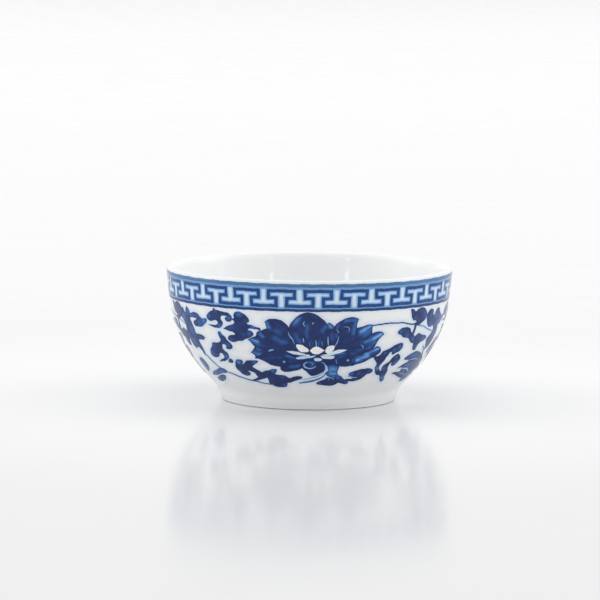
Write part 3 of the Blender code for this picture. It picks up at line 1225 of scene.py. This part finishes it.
def far_left_leaves():
    """Leaves between this flower and the one before it."""
    return [
        Wash(
            [(-33.2, 8.6), (-31.6, 8), (-30.1, 7.7), (-29, 8.1), (-28.2, 8.85), (-27.3, 9),
             (-26.5, 8.8), (-26, 9.2), (-26.5, 9.9), (-27.3, 10.5), (-28.2, 11.1), (-29.5, 11.3),
             (-30.7, 11.2), (-31.4, 10.7), (-31.3, 10), (-30.5, 9.7), (-30.0, 9.3), (-30.9, 9.1),
             (-32, 9.2), (-33.3, 9.3)],
            0.86,
            [(-27, 9.5, 0.8, 0.58), (-29, 10.6, 0.8, 0.7), (-31.5, 8.6, 0.7, 0.66)],
        ),
        Wash(
            [(-23.2, 12.2), (-22.8, 11.7), (-22.2, 12), (-21.9, 12.6), (-21.3, 13), (-20.9, 13.7),
             (-20.2, 14.4), (-19.8, 15), (-19.7, 15.8), (-20.3, 16.3), (-21.1, 16.4), (-21.8, 16.1),
             (-21.5, 15.6), (-21.8, 15.2), (-22.5, 15.2), (-22.9, 15.7), (-23, 16.4), (-22.6, 17),
             (-22, 17.5), (-21.8, 18.2), (-22, 19), (-22.8, 19.6), (-23.9, 20.1), (-25, 20.35),
             (-26.3, 20.65, TIP), (-25.2, 19.9), (-24.2, 19.5), (-23.6, 18.9), (-23.6, 18.1),
             (-24.2, 17.8), (-24.8, 18.1), (-25.1, 18.7), (-25.7, 19.1), (-26.5, 19.35), (-27.5, 19.3),
             (-28.2, 18.8), (-28.2, 18), (-27.8, 17.2), (-27.2, 16.6), (-26.6, 16), (-26.2, 15.2),
             (-25.4, 14.95), (-24.4, 14.9), (-23.4, 14.7), (-22.8, 14.1), (-22.9, 13.3)],
            0.92,
            [(-22.6, 12.4, 0.5, 0.66), (-21, 15.2, 0.6, 0.7), (-27.4, 18.3, 0.8, 0.72),
             (-22.8, 18.6, 0.7, 0.58), (-25.8, 15.6, 0.6, 0.78)],
        ),
        Wash([(-22.5, 19.7), (-21.8, 19.25), (-21.1, 19.6), (-21.2, 20.3), (-21.9, 20.6),
              (-22.6, 20.4)], 0.88),
        Wash(
            [(-35, 25.9, TIP), (-33, 24.7), (-30.3, 23.7), (-28.2, 22.9), (-26.6, 22.85), (-25.4, 23.5),
             (-26.2, 24.2), (-28, 24.55), (-30, 25.1), (-32.5, 25.8)],
            0.8,
            [(-32.5, 25.2, 1.2, 0.66)],
        ),
        Wash([(-33.6, 27.3), (-31.6, 26), (-29.4, 25.3), (-27.8, 25.35), (-28.3, 26.4), (-30, 27.3),
              (-32, 27.8)], 0.84, [(-32.6, 27.2, 0.8, 0.68)]),
    ]


def far_left_vines():
    """The long vine that comes down from the left."""
    return [
        stroke([(-34.6, 9.2), (-33.6, 8.85), (-32.4, 8.6)], (0.3, 0.45, 0.6), 0.8),
        stroke([(-33.4, 16.4), (-32.2, 17.5), (-30.9, 19.3), (-29.5, 21), (-28, 22.5), (-26.3, 23.5),
                (-24.6, 24.1)],
               (0.3, 0.5, 0.5, 0.4, 0.38), 0.62),
    ]


def left_column():
    """A leafy stem that stands left of the first flower."""
    return [
        Wash(
            [(-36.2, 10.4), (-37.2, 9.4), (-37.1, 8.2), (-36.3, 7.5), (-35.9, 6.9, TIP), (-35.2, 7.6),
             (-34.6, 8.1), (-34.2, 7.2), (-33.5, 6.55, TIP), (-32.8, 7.3), (-32.4, 8.4), (-32.6, 9.6),
             (-32.2, 10.8), (-31.7, 12), (-31.6, 13.2), (-30.6, 13.3), (-29.2, 13.4), (-28.2, 14, TIP),
             (-29.4, 14.7), (-30.8, 14.8), (-31.3, 15.3), (-31, 16.6), (-30.9, 18.2), (-31.5, 19.2),
             (-32.2, 17.6), (-33.2, 17.2), (-34.4, 17.6), (-35.4, 16.8), (-35.8, 15.2), (-35.2, 14),
             (-35.9, 13), (-35.6, 11.8)],
            0.86,
            [(-33.2, 12.6, 0.9, 0.74), (-33.5, 8.2, 0.6, 0.7), (-36, 9.2, 0.7, 0.7),
             (-33.4, 15.6, 0.9, 0.7)],
        ),
        Wash([(-36.9, 21.2), (-35.4, 20.5), (-34.2, 21), (-33.6, 22.2), (-34.2, 23.6), (-35.6, 24.6),
              (-37, 25), (-37.2, 23)], 0.74),
    ]


def right_column():
    """A leafy stem, and a fan of leaves below it, that stand right of a flower."""
    return [
        Wash(
            [(31.9, 8.6), (32.1, 7.6), (32.9, 6.95), (33.9, 6.8), (34.7, 7.2), (34.9, 8.2), (35.5, 8.6),
             (36, 7.6), (36.9, 6.8, TIP), (37.8, 7), (38.4, 8), (38.3, 9.6), (38.9, 11), (39.4, 12.6),
             (39.4, 14.4), (38.8, 16), (37.8, 17.2), (36.6, 17.9, TIP), (36, 16.8), (35.4, 15.6),
             (34.9, 14.7), (35.6, 13.8), (36.5, 12.9), (36.5, 11.8), (35.7, 11.1), (34.6, 11.4),
             (33.5, 11.1), (32.6, 10.2)],
            0.9,
            [(33.7, 8.4, 0.7, 0.76), (34.3, 10.6, 0.6, 0.72), (37.2, 8.6, 0.7, 0.74),
             (38, 13.5, 0.9, 0.76)],
        ),
        Wash(
            [(28.1, 19.5, TIP), (29.3, 18.6), (30.6, 18.1), (32, 17.75), (33.6, 17.9), (35.2, 18.5),
             (36.8, 19.2), (38.4, 20), (39.8, 21.2), (40.2, 23), (39.6, 24.8), (38.4, 26.2),
             (36.6, 26.8), (34.6, 26.6), (32.6, 26.2), (30.8, 25.6), (29, 24.9), (27.6, 24.4),
             (26.2, 23.9, TIP), (27.6, 23.7), (29, 23.8), (29.9, 23.6), (29.6, 23.1), (29.9, 22.5),
             (28.8, 22.4), (27.6, 22.5, TIP), (28.6, 21.7), (29.8, 21.1), (31, 20.6), (30.4, 20.1),
             (29.2, 20)],
            0.92,
            [(30.5, 19, 33.5, 18.8, 0.6, 0.76), (30.6, 21.9, 34, 21.4, 0.6, 0.74),
             (36, 22.5, 1.4, 0.82)],
        ),
        stroke([(30.6, 20.4), (32.4, 20.1), (34.4, 20.2), (36.2, 20.8)], (0.1, 0.34, 0.3, 0.1), 0.4),
        stroke([(30.2, 22.9), (31.8, 22.9), (33.6, 23.5), (35.2, 24.3)], (0.3, 0.5, 0.4, 0.1), 0.34),
        stroke([(29.6, 24.1), (31.4, 24.5), (33.4, 25.1), (35.6, 25.5)], (0.1, 0.3, 0.26, 0.1), 0.44),
    ]


def right_leaves():
    """Leaves between this flower and the next one."""
    return [
        Wash(
            [(25.5, 6.15, TIP), (26.5, 6.15), (27.3, 6.75), (28, 6.3), (29, 5.98), (30, 6.05),
             (31, 6.6), (31.7, 7.6), (31.6, 8.6), (30.9, 9.4), (29.9, 9.9), (29, 10.35), (28.1, 10.35),
             (27.4, 9.95), (28.1, 9.5), (27.6, 9.1), (26.8, 8.9), (26.2, 8.2), (26, 7.4), (25.7, 6.7)],
            0.94,
            [(26.4, 6.8, 0.5, 0.74), (30.6, 7.6, 0.9, 0.78), (27.4, 8.2, 0.6, 0.74)],
        ),
        Wash(
            [(22.4, 11.6), (23, 10.95), (24, 10.55), (25.2, 10.5), (26.2, 10.9), (26.6, 11.7),
             (27.3, 12.3), (28.1, 12.7), (28.8, 13.5), (29.6, 14.3), (29.9, 15), (28.6, 15.05),
             (27.6, 14.6), (26.9, 13.9), (26.2, 13.45), (25.3, 13.3), (24.4, 13), (23.7, 12.4),
             (22.8, 12.2)],
            0.92,
            [(23.2, 11.6, 0.6, 0.64), (25.6, 12.9, 0.7, 0.7), (28.2, 13.6, 0.6, 0.72)],
        ),
        Wash(
            [(28.9, 14.6), (28.6, 13.6), (29.4, 12.75), (30.4, 12.6), (31.3, 13), (32.5, 13.2),
             (33.6, 13.5), (34.3, 14.2, TIP), (33.3, 14.8), (32.2, 15.1), (31.4, 15.6), (31.2, 16.4),
             (31.1, 17.2, TIP), (30.2, 17.1), (29.4, 16.4), (29.2, 15.5)],
            0.9,
            [(32.8, 14, 0.8, 0.68), (30.2, 13.4, 0.5, 0.74), (30.3, 16.4, 0.6, 0.76)],
        ),
        Wash(
            [(16.9, 17.3), (18, 17.9), (18.9, 17.3), (19.3, 16.6), (20.2, 16.25), (21.2, 15.9),
             (22, 15.3), (23, 14.9), (24, 14.6), (25, 14.8), (25.4, 15.6), (25.2, 16.4), (24.6, 17),
             (23.8, 17.3), (23, 17.8), (22.4, 17.5), (22.2, 16.9), (21.7, 17), (21.4, 17.7),
             (20.9, 18.4), (20.8, 19.3), (20.4, 20), (20.1, 20.8), (20.2, 21.7), (20.8, 22.4),
             (21.5, 22.8, TIP), (21.1, 21.8), (21.3, 21), (22, 20.4), (22.7, 19.9), (23, 19.2),
             (23.4, 18.5), (24.1, 17.9), (24.9, 17.7), (25.8, 18.3), (26.3, 19.2), (26, 20.2),
             (25.4, 21), (24.6, 21.3), (24, 20.9), (23.9, 20.2), (23.4, 20.3), (23.2, 21.1),
             (23.4, 22.1), (23.8, 23.1), (23.9, 24.1), (24, 24.9), (24.4, 25.8), (24.2, 26.6, TIP),
             (23.3, 26.3), (22.6, 25.5), (22.1, 24.6), (21.4, 24), (20.4, 23.9), (19.7, 23.3),
             (19.2, 22.3), (18.7, 21.4), (18.8, 20.4), (18.5, 19.7), (17.7, 19), (17.1, 18.2)],
            0.95,
            [(24.4, 15.7, 0.7, 0.7), (22.9, 16.5, 0.5, 0.62), (20.2, 17, 0.6, 0.66),
             (25.1, 20.3, 0.7, 0.56), (24.5, 18.6, 0.5, 0.72), (19.5, 21.5, 0.9, 0.54),
             (22, 22, 0.6, 0.66), (23.4, 25.3, 0.9, 0.5)],
        ),
    ]


def right_vines():
    """The vine that leaves the flower's right side for the next stem."""
    return [
        stroke([(14.6, 9.55), (16.2, 9.3), (18.6, 9.15), (21, 9.15), (23.4, 9.3), (25.2, 9.65),
                (26.8, 9.95), (28.4, 9.95)], (0.26, 0.36, 0.3, 0.34, 0.42), 0.86),
        stroke([(27.9, 9.8), (27.9, 10.8), (27.8, 11.9), (27.4, 12.9)], (0.9, 0.8, 0.9), 0.9),
        stroke([(28.8, 10.3), (30.6, 10.7), (32.4, 11.3), (34.2, 12),
                (36.2, 12.6)], (0.3, 0.34, 0.3), 0.5),
    ]


def scroll_leaves(turn):
    """All leaves of one flower. The first flower draws the stem between the last one and itself."""
    column = left_column() if turn == 0 else []
    if turn < FLOWERS - 1:
        column += right_column()
    return column + near_leaves() + far_left_leaves() + right_leaves()


def scroll_vines():
    """All vines of one flower."""
    return near_vines() + far_left_vines() + right_vines()


# ---------------------------------------------------------------------------------------------
# Operators
# ---------------------------------------------------------------------------------------------


def cobalt(name, colours, unevenness, middle=None):
    """A cobalt paint, made once and shared by the pieces that use it."""
    return bpy.data.materials.get(name) or cobalt_material(
        name, colours, unevenness, middle or colours.cobalt_mid
    )


def outline_points(wall):
    """Points of the painting's outlines on the wall, for the haze round them."""
    flats = []
    for turn in range(FLOWERS):
        shapes = lotus_petals() + scroll_leaves(turn) + scroll_vines()
        flats += [wash.outline + (turn * APART, 0.0) for wash in shapes]
    for y in (RIM_LINE_AT, FRET_TOP, FRET_MIDDLE, FRET_BOTTOM, BASE_LINE_AT):
        flats.append(np.array([(x, y) for x in np.arange(0.0, GIRTH, 0.5)]))
    flat = np.vstack(flats)
    return wall.surface(flat[:, 0], flat[:, 1])


class TEABOWL_OT_body(bpy.types.Operator):
    """Turn the glazed porcelain body"""

    bl_idname = "teabowl.body"
    bl_label = "Porcelain body"

    def execute(self, context):
        sizes = context.scene.teabowl_sizes
        wall = PaintedWall(sizes)
        body = lathe("porcelain_body", body_section(sizes), BODY_STEPS)
        smooth_by_angle(body, 40)
        verts = mesh_points(body)
        set_attribute(body, "pool", glaze_pools(verts, sizes))
        set_attribute(body, "haze", cobalt_haze(verts, wall, outline_points(wall)))
        body.data.materials.append(white_glaze_material(context.scene.teabowl_colours))
        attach(body, "root")
        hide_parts(BOWL_NODE)
        return {"FINISHED"}


class TEABOWL_OT_foot_rim(bpy.types.Operator):
    """Lay the unglazed ring that the bowl rests on"""

    bl_idname = "teabowl.foot_rim"
    bl_label = "Bare foot rim"

    def execute(self, context):
        ring = ring_piece("bare_foot_rim", bare_ring_section()[::-1], RING_STEPS)
        smooth_by_angle(ring, 50)
        ring.data.materials.append(bare_clay_material(context.scene.teabowl_colours))
        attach(ring, "root")
        return {"FINISHED"}


def lay_paint(context, name, washes, level, material, turn=0.0, layered=True):
    """Lays one painted piece on the wall and hangs it on the bowl."""
    wall = PaintedWall(context.scene.teabowl_sizes)
    lift = context.scene.teabowl_paint.lift * (1 + level)
    piece = painted_piece(name, washes, wall, lift, material, turn, layered)
    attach(piece, "root")


class TEABOWL_OT_lines(bpy.types.Operator):
    """Paint the line under the lip and the line under the fret"""

    bl_idname = "teabowl.lines"
    bl_label = "Banding lines"

    def execute(self, context):
        paint = context.scene.teabowl_paint
        colours = context.scene.teabowl_colours
        greener = cobalt("cobalt_lip_line", colours, 0.08, colours.lip_line)
        line = cobalt("cobalt_line", colours, 0.10)
        under_lip = band_wash(RIM_LINE_AT, paint.rim_line / MM, 0.66)
        under_fret = band_wash(BASE_LINE_AT, paint.base_line / MM, 0.88)
        lay_paint(context, "rim_line", under_lip, LINE_LEVEL, greener, layered=False)
        lay_paint(context, "fret_base_line", under_fret, LINE_LEVEL, line, layered=False)
        return {"FINISHED"}


class TEABOWL_OT_fret(bpy.types.Operator):
    """Paint the key fret round the bowl"""

    bl_idname = "teabowl.fret"
    bl_label = "Key fret"

    def execute(self, context):
        paint = context.scene.teabowl_paint
        period = GIRTH / paint.fret_repeats
        outline = np.array(fret_outline(paint.fret_line / MM, period))
        washes, ground = [], []
        for index in range(paint.fret_repeats):
            there = (FRET_START + index * period, 0.0)
            washes.append(Wash(outline + there, 0.88, edge=-0.08, drawn=True, grain=0.4))
            ground.append(fret_ground(outline, period, there))
        colours = context.scene.teabowl_colours
        bleed = cobalt("cobalt_bleed", colours, 0.04)
        line = cobalt("cobalt_fret", colours, 0.16)
        lay_paint(context, "fret_ground", ground, GROUND_LEVEL, bleed, layered=False)
        lay_paint(context, "key_fret", washes, LINE_LEVEL, line, layered=False)
        return {"FINISHED"}


class TEABOWL_OT_lotus(bpy.types.Operator):
    """Paint the three lotus flowers"""

    bl_idname = "teabowl.lotus"
    bl_label = "Lotus flowers"

    def execute(self, context):
        colours = context.scene.teabowl_colours
        thick = cobalt("cobalt_petal", colours, 0.32)
        light = cobalt("cobalt_light", colours, 0.1)
        for turn in range(FLOWERS):
            around = turn * APART
            number = turn + 1
            lay_paint(context, f"lotus_petals_{number}", lotus_petals(), PETAL_LEVEL, thick, around)
            lay_paint(context, f"lotus_lights_{number}", lotus_lights(), LIGHT_LEVEL, light, around)
            lay_paint(context, f"lotus_heart_{number}", lotus_heart(), LIGHT_LEVEL, light, around)
        return {"FINISHED"}


class TEABOWL_OT_scroll(bpy.types.Operator):
    """Paint the leaves and vines between the flowers"""

    bl_idname = "teabowl.scroll"
    bl_label = "Leaf scroll"

    def execute(self, context):
        colours = context.scene.teabowl_colours
        leaf = cobalt("cobalt_leaf", colours, 0.46)
        vine = cobalt("cobalt_vine", colours, 0.12)
        for turn in range(FLOWERS):
            around = turn * APART
            number = turn + 1
            lay_paint(context, f"scroll_vines_{number}", scroll_vines(), VINE_LEVEL, vine, around)
            lay_paint(context, f"scroll_leaves_{number}", scroll_leaves(turn), LEAF_LEVEL, leaf, around)
        return {"FINISHED"}


# ---------------------------------------------------------------------------------------------
# The stage
# ---------------------------------------------------------------------------------------------


def floor_material(colours):
    material, tree, shader = new_material("studio_floor", colours.floor)
    place = add_node(tree, "ShaderNodeTexCoord")
    split = add_node(tree, "ShaderNodeSeparateXYZ")
    tree.links.new(place.outputs["Object"], split.inputs["Vector"])
    distance = add_node(tree, "ShaderNodeVectorMath", operation="LENGTH")
    tree.links.new(place.outputs["Object"], distance.inputs[0])
    # From behind the bowl towards the camera the floor is painted darker: painted shade.
    behind = ramp_between(tree, split.outputs["Y"], -0.35, 0.35)
    # Round the bowl the floor is painted paler: a painted pool of light over the bowl's shade.
    close = ramp_between(tree, distance.outputs["Value"], 0.03, 0.16, 0.55, 0.0)
    # Far from the bowl the floor is painted lighter: painted light.
    painted_distance_light = ramp_between(tree, distance.outputs["Value"], 0.9, 3.5, 0.0, 0.9)
    cloudy = ramp_between(tree, noise(tree, 4.0, 3.0), 0.3, 0.7, 0.0, 0.02)
    tone = mix_colour(tree, behind, colours.floor_near_painted_shade, colours.floor)
    tone = mix_colour(tree, close, tone, colours.floor_painted_light_pool)
    tone = mix_colour(tree, painted_distance_light, tone, colours.floor_far_painted_light)
    tone = mix_colour(tree, cloudy, tone, colours.floor_dust)
    tree.links.new(tone, shader.inputs["Base Color"])
    roughness = ramp_between(tree, noise(tree, 30.0, 3.0), 0.3, 0.7, 0.11, 0.15)
    tree.links.new(roughness, shader.inputs["Roughness"])
    shader.inputs["Specular IOR Level"].default_value = 0.06
    add_bump(tree, shader, noise(tree, 35.0, 2.0), 0.004, 0.2 * MM)
    return material


def studio_floor(colours):
    """A wide round floor, fine near the bowl."""
    steps = 96
    radii = [0.0, 0.05, 0.12, 0.3, 0.8, 2.0, 5.0, 12.0]
    verts = [(0.0, 0.0, 0.0)]
    for radius in radii[1:]:
        for step in range(steps):
            turn = 2 * math.pi * step / steps
            verts.append((radius * math.cos(turn), radius * math.sin(turn), 0.0))
    faces = [(0, 1 + step, 1 + (step + 1) % steps) for step in range(steps)]
    for ring in range(len(radii) - 2):
        inner = 1 + ring * steps
        outer = inner + steps
        for step in range(steps):
            after = (step + 1) % steps
            faces.append((inner + step, outer + step, outer + after, inner + after))
    floor = link_mesh("studio_floor", verts, faces)
    floor.data.materials.append(floor_material(colours))


BOWL_AIM = (0.0, 0.0, 0.02)
FLOOR_AIM = (0.0, 0.3, 0.0)

# Name, place, aim, width, height and power of each light, in metres and watts
SOFTBOXES = (
    ("top_softbox", (0.0, 0.7, 1.4), FLOOR_AIM, 2.0, 2.0, 4.5),
    ("front_fill", (0.0, -1.3, 0.7), BOWL_AIM, 1.4, 0.9, 1.6),
    ("left_strip", (-0.565, -0.83, 0.230), BOWL_AIM, 0.07, 0.11, 0.1),
    ("right_strip", (0.56, -0.835, 0.232), BOWL_AIM, 0.06, 0.11, 0.09),
    ("left_softbox", (-3.2, 0.3, 1.6), BOWL_AIM, 2.1, 2.8, 27.0),
    ("right_softbox", (3.2, 0.3, 1.6), BOWL_AIM, 2.1, 2.8, 27.6),
)

# The camera turns about the middle of the bowl and aims a little beside it, in metres
BOWL_MIDDLE = (0.0, 0.0, 0.016)
AIM_OFFSET = (-0.00225, 0.0, 0.00823)


def softbox(name, place, aim, width, height, power):
    data = bpy.data.lights.new(name, "AREA")
    data.shape = "RECTANGLE"
    data.size = width
    data.size_y = height
    data.energy = power
    lamp = bpy.data.objects.new(name, data)
    bpy.context.scene.collection.objects.link(lamp)
    lamp.location = place
    lamp.rotation_euler = (Vector(aim) - Vector(place)).to_track_quat("-Z", "Y").to_euler()


def studio_world(backdrop):
    """A white room, bright behind the bowl and dimmer towards the camera."""
    world = bpy.data.worlds.new("white_room")
    world.use_nodes = True
    tree = world.node_tree
    room = tree.nodes["Background"]
    place = add_node(tree, "ShaderNodeTexCoord")
    split = add_node(tree, "ShaderNodeSeparateXYZ")
    tree.links.new(place.outputs["Generated"], split.inputs["Vector"])
    light = ramp_between(tree, split.outputs["Y"], -1.0, 0.6, 0.66, 1.0)
    path = add_node(tree, "ShaderNodeLightPath")
    seen = add_node(tree, "ShaderNodeMix", data_type="FLOAT")
    tree.links.new(path.outputs["Is Camera Ray"], seen.inputs["Factor"])
    tree.links.new(light, seen.inputs["A"])
    seen.inputs["B"].default_value = backdrop
    room.inputs["Color"].default_value = (1.0, 1.0, 1.0, 1.0)
    tree.links.new(seen.outputs["Result"], room.inputs["Strength"])
    bpy.context.scene.world = world


def studio_camera(stage):
    """A long lens a little above the rim, aimed just over the bowl."""
    data = bpy.data.cameras.new("studio_camera")
    data.lens = stage.camera_lens
    data.sensor_width = 36.0
    data.clip_start = 0.01
    data.clip_end = 50.0
    camera = bpy.data.objects.new("studio_camera", data)
    bpy.context.scene.collection.objects.link(camera)
    middle = Vector(BOWL_MIDDLE)
    back = stage.camera_distance * math.cos(stage.camera_height_angle)
    rise = stage.camera_distance * math.sin(stage.camera_height_angle)
    camera.location = middle + Vector((0.0, -back, rise))
    aim = middle + Vector(AIM_OFFSET)
    level = (aim - camera.location).to_track_quat("-Z", "Y").to_matrix().to_4x4()
    camera.matrix_world = (
        Matrix.Translation(camera.location) @ level @ Matrix.Rotation(stage.camera_tilt, 4, "Z")
    )
    bpy.context.scene.camera = camera


class TEABOWL_OT_stage(bpy.types.Operator):
    """Set up the floor, the lights and the camera"""

    bl_idname = "teabowl.stage"
    bl_label = "Studio stage"

    def execute(self, context):
        scene = context.scene
        scene.view_settings.view_transform = "Standard"
        studio_floor(scene.teabowl_colours)
        studio_world(scene.teabowl_stage.backdrop)
        for light in SOFTBOXES:
            softbox(*light)
        studio_camera(scene.teabowl_stage)
        return {"FINISHED"}


# ---------------------------------------------------------------------------------------------
# Panel and registration
# ---------------------------------------------------------------------------------------------

OPERATORS = (
    TEABOWL_OT_stage,
    TEABOWL_OT_body,
    TEABOWL_OT_foot_rim,
    TEABOWL_OT_lines,
    TEABOWL_OT_fret,
    TEABOWL_OT_lotus,
    TEABOWL_OT_scroll,
)


class TEABOWL_PT_panel(bpy.types.Panel):
    """Sizes, colours and steps of the tea bowl"""

    bl_idname = "TEABOWL_PT_panel"
    bl_label = "Tea bowl"
    bl_space_type = "VIEW_3D"
    bl_region_type = "UI"
    bl_category = "Tea bowl"

    def draw(self, context):
        layout = self.layout
        for step in OPERATORS:
            layout.operator(step.bl_idname)
        for settings in SETTINGS:
            box = layout.box()
            for key in settings.__annotations__:
                box.prop(getattr(context.scene, SETTINGS[settings]), key)


SETTINGS = {
    BowlSizes: "teabowl_sizes",
    PaintSizes: "teabowl_paint",
    BowlColours: "teabowl_colours",
    StageSettings: "teabowl_stage",
}


def register():
    for settings, place in SETTINGS.items():
        bpy.utils.register_class(settings)
        setattr(bpy.types.Scene, place, bpy.props.PointerProperty(type=settings))
    for kind in (*OPERATORS, TEABOWL_PT_panel):
        bpy.utils.register_class(kind)


def unregister():
    for kind in reversed((*OPERATORS, TEABOWL_PT_panel)):
        bpy.utils.unregister_class(kind)
    for settings, place in reversed(SETTINGS.items()):
        delattr(bpy.types.Scene, place)
        bpy.utils.unregister_class(settings)


def main():
    register()
    bpy.ops.teabowl.stage()
    bpy.ops.teabowl.body()
    bpy.ops.teabowl.foot_rim()
    bpy.ops.teabowl.lines()
    bpy.ops.teabowl.fret()
    bpy.ops.teabowl.lotus()
    bpy.ops.teabowl.scroll()


if __name__ == "__main__":
    main()
